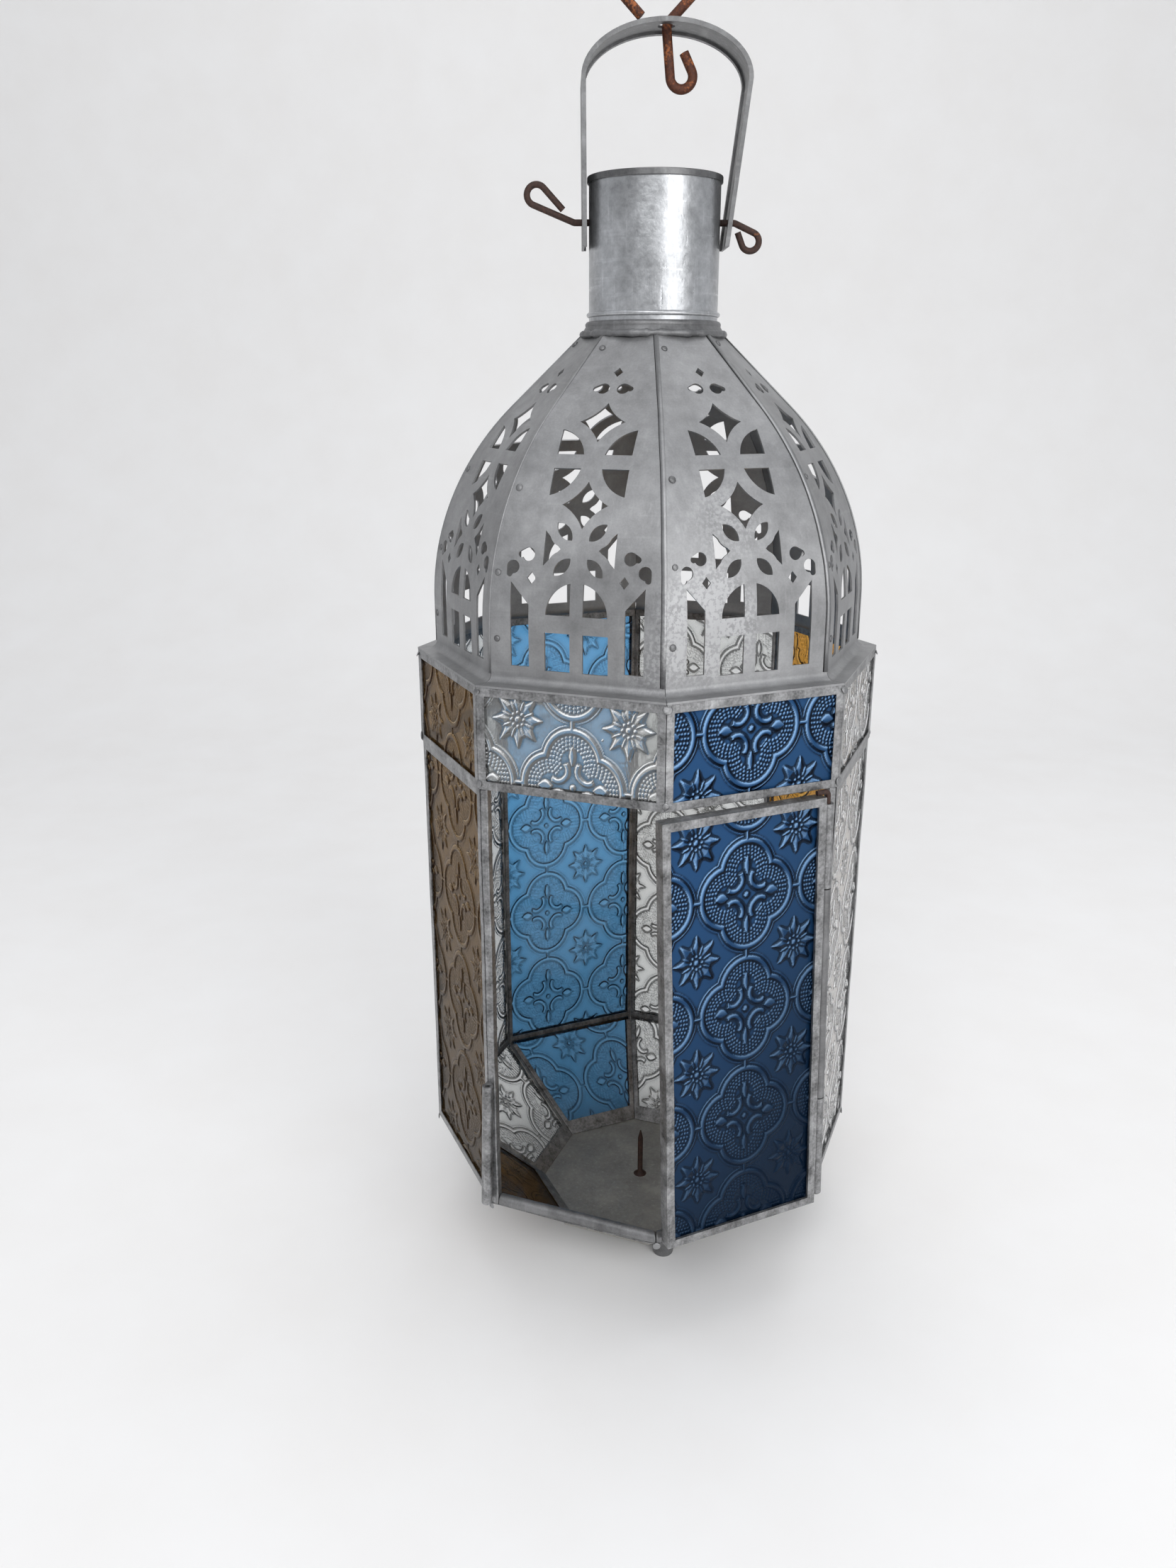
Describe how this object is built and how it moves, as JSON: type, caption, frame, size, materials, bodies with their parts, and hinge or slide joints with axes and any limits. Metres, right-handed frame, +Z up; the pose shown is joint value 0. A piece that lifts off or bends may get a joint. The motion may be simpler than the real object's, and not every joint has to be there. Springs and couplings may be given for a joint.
{
  "type": "octagonal candle lantern",
  "caption": "Octagonal metal and embossed glass candle lantern with a pierced dome, a strap bail, a wire hook and a hinged door beside an open front.",
  "frame": {"origin": "middle of the base, on the surface the feet stand on", "axes": "+Z up along the lantern's axis; -Y towards the front corner of the octagon, between the open doorway (left, -X side) and the door (right, +X side); +X to the right seen from the front"},
  "size_m": [0.1902, 0.1983, 0.5334],
  "materials": {
    "soldered_tin": "dull tinned came with solder at the corners",
    "dome_sheet": "dull mottled sheet, speckled where it is worn",
    "dull_tin": "dull grey sheet",
    "bright_tin": "bright worn sheet",
    "strap_tin": "satin sheet with scratches",
    "rusty_wire": "rusted wire",
    "glass_clear": "embossed clear glass",
    "glass_blue": "embossed cobalt glass",
    "glass_amber": "embossed amber glass"
  },
  "bodies": {
    "lantern": {"floor_plate": "dull_tin", "feet": "soldered_tin", "candle_spike": "rusty_wire", "lower_frame": "soldered_tin", "lower_pane_1": "glass_clear", "lower_pane_2": "glass_blue", "lower_pane_3": "glass_clear", "lower_pane_4": "glass_amber", "lower_pane_5": "glass_clear", "lower_pane_6": "glass_blue", "lower_pane_7": "glass_clear", "lower_pane_8": "glass_amber", "door_sill": "bright_tin", "door_posts": "soldered_tin", "post_sleeve": "dull_tin", "left_sleeve": "dull_tin", "hinge_pin": "rusty_wire", "side_frame_3": "soldered_tin", "side_frame_4": "soldered_tin", "side_frame_5": "soldered_tin", "side_frame_6": "soldered_tin", "side_frame_7": "soldered_tin", "side_frame_8": "soldered_tin", "side_pane_3": "glass_clear", "side_pane_4": "glass_amber", "side_pane_5": "glass_clear", "side_pane_6": "glass_blue", "side_pane_7": "glass_clear", "side_pane_8": "glass_amber", "band_frame": "soldered_tin", "band_pane_1": "glass_clear", "band_pane_2": "glass_blue", "band_pane_3": "glass_clear", "band_pane_4": "glass_amber", "band_pane_5": "glass_clear", "band_pane_6": "glass_blue", "band_pane_7": "glass_clear", "band_pane_8": "glass_amber", "dome_gore_1": "dome_sheet", "dome_gore_2": "dome_sheet", "dome_gore_3": "dome_sheet", "dome_gore_4": "dome_sheet", "dome_gore_5": "dome_sheet", "dome_gore_6": "dome_sheet", "dome_gore_7": "dome_sheet", "dome_gore_8": "dome_sheet", "neck_tube": "bright_tin", "neck_collar": "dull_tin", "neck_cap": "strap_tin"},
    "door": {"door_frame": "soldered_tin", "door_pane": "glass_blue", "door_sleeves": "soldered_tin"},
    "bail": {"bail_strap": "strap_tin"},
    "hook": {"hanging_hook": "rusty_wire"},
    "left_pin": {"bail_pin_left": "rusty_wire"},
    "right_pin": {"bail_pin_right": "rusty_wire"}
  },
  "joints": [
    {"name": "door_hinge", "type": "hinge", "parent": "lantern", "child": "door", "pos_m": [0.06843, -0.0694, 0.044], "axis": [-0.0322, -0.0134, 0.9994], "range_deg": [-1.5, 180]},
    {"name": "bail_swing", "type": "hinge", "parent": "lantern", "child": "bail", "pos_m": [0, 0, 0.42638], "axis": [1, 0, 0], "range_deg": [-110, 110]},
    {"name": "hook_swivel", "type": "hinge", "parent": "bail", "child": "hook", "pos_m": [0.0032, 0, 0.49188], "axis": [0, 0, 1], "continuous": true},
    {"name": "left_pin_turn", "type": "hinge", "parent": "lantern", "child": "left_pin", "pos_m": [-0.03, 0, 0.42638], "axis": [1, 0, 0], "range_deg": [-120, 120]},
    {"name": "right_pin_turn", "type": "hinge", "parent": "lantern", "child": "right_pin", "pos_m": [0.03, 0, 0.42638], "axis": [1, 0, 0], "range_deg": [-120, 120]}
  ]
}
